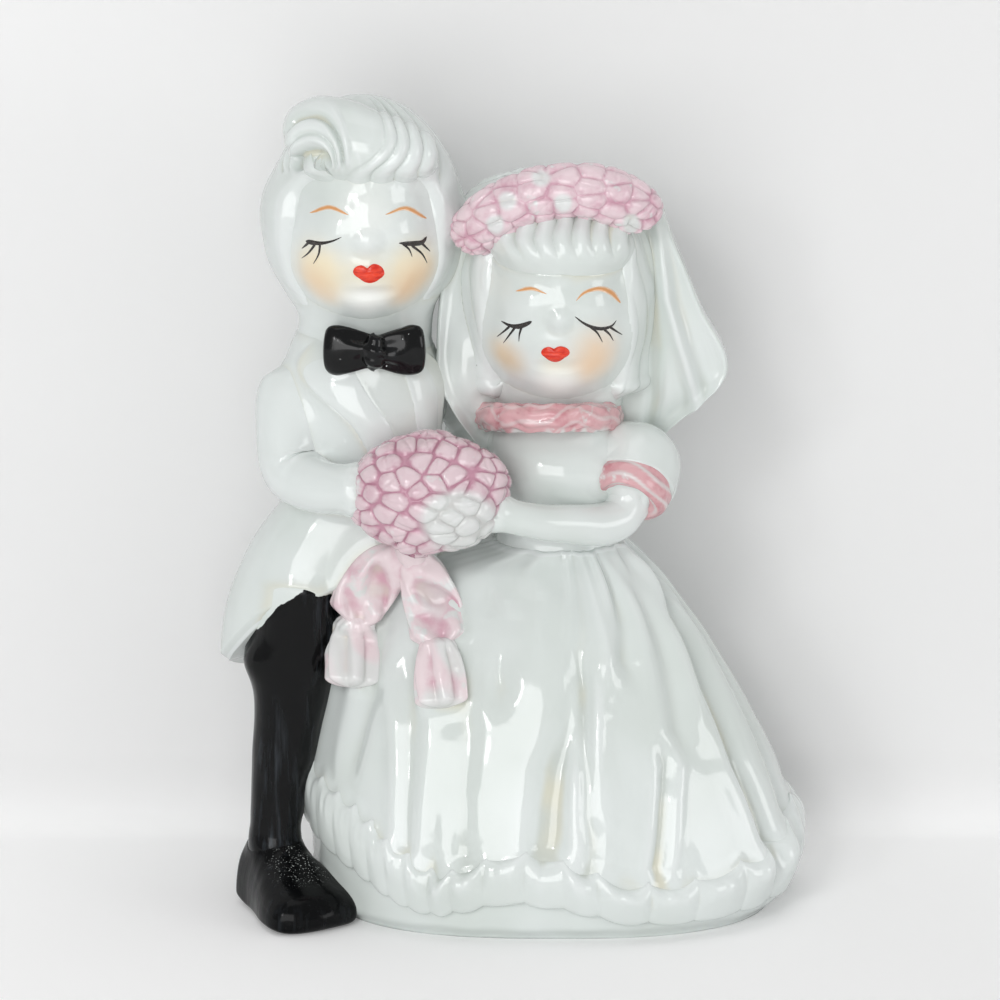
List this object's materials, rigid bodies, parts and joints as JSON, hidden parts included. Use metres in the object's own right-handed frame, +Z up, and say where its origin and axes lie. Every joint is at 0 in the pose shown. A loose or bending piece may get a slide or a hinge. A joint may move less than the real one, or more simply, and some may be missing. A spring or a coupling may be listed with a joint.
{
  "type": "wedding cake topper",
  "caption": "Glazed porcelain bride and groom side by side, with bouquet, ribbons, veil and a full frilled skirt that the figure stands on",
  "frame": {"origin": "middle of the figure's bounding box, at the foot", "axes": "+Z up, -Y is the front that the faces look to, +X is towards the bride"},
  "size_m": [0.0804, 0.0546, 0.1141],
  "materials": {
    "white_glaze": "clear glaze over white porcelain, with a faint cool tint",
    "face_glaze": "clear glaze over white porcelain, blushed peach at the cheeks, with painted brows, lashes and lips",
    "black_glaze": "glossy black enamel, brushed on over the glaze",
    "pink_glaze": "thin pink wash over white glaze, darker in the hollows",
    "rose_glaze": "rose wash with brush strokes over white glaze"
  },
  "bodies": {
    "root": {"petticoat_base": "white_glaze", "dress_skirt": "white_glaze", "hem_frill": "white_glaze", "coat_tails": "white_glaze", "tailcoat_body": "white_glaze", "bride_bodice": "white_glaze", "shirt_front": "white_glaze", "left_lapel": "white_glaze", "right_lapel": "white_glaze", "groom_front_sleeve": "white_glaze", "groom_back_sleeve": "white_glaze", "bride_puff_sleeve": "white_glaze", "bride_forearm": "white_glaze", "groom_hair": "white_glaze", "groom_quiff": "white_glaze", "bride_hair": "white_glaze", "bride_fringe": "white_glaze", "bridal_veil": "white_glaze", "groom_head": "face_glaze", "bride_head": "face_glaze", "groom_front_shoe": "black_glaze", "groom_back_shoe": "black_glaze", "groom_front_trouser_leg": "black_glaze", "groom_back_trouser_leg": "black_glaze", "bow_tie_knot": "black_glaze", "bow_tie_left_wing": "black_glaze", "bow_tie_right_wing": "black_glaze", "bouquet": "pink_glaze", "flower_wreath": "pink_glaze", "ribbon_knot": "pink_glaze", "ribbon_left_loop": "pink_glaze", "ribbon_right_loop": "pink_glaze", "ribbon_left_tail": "pink_glaze", "ribbon_right_tail": "pink_glaze", "neck_frill": "rose_glaze", "bride_sleeve_cuff": "rose_glaze"}
  },
  "joints": []
}
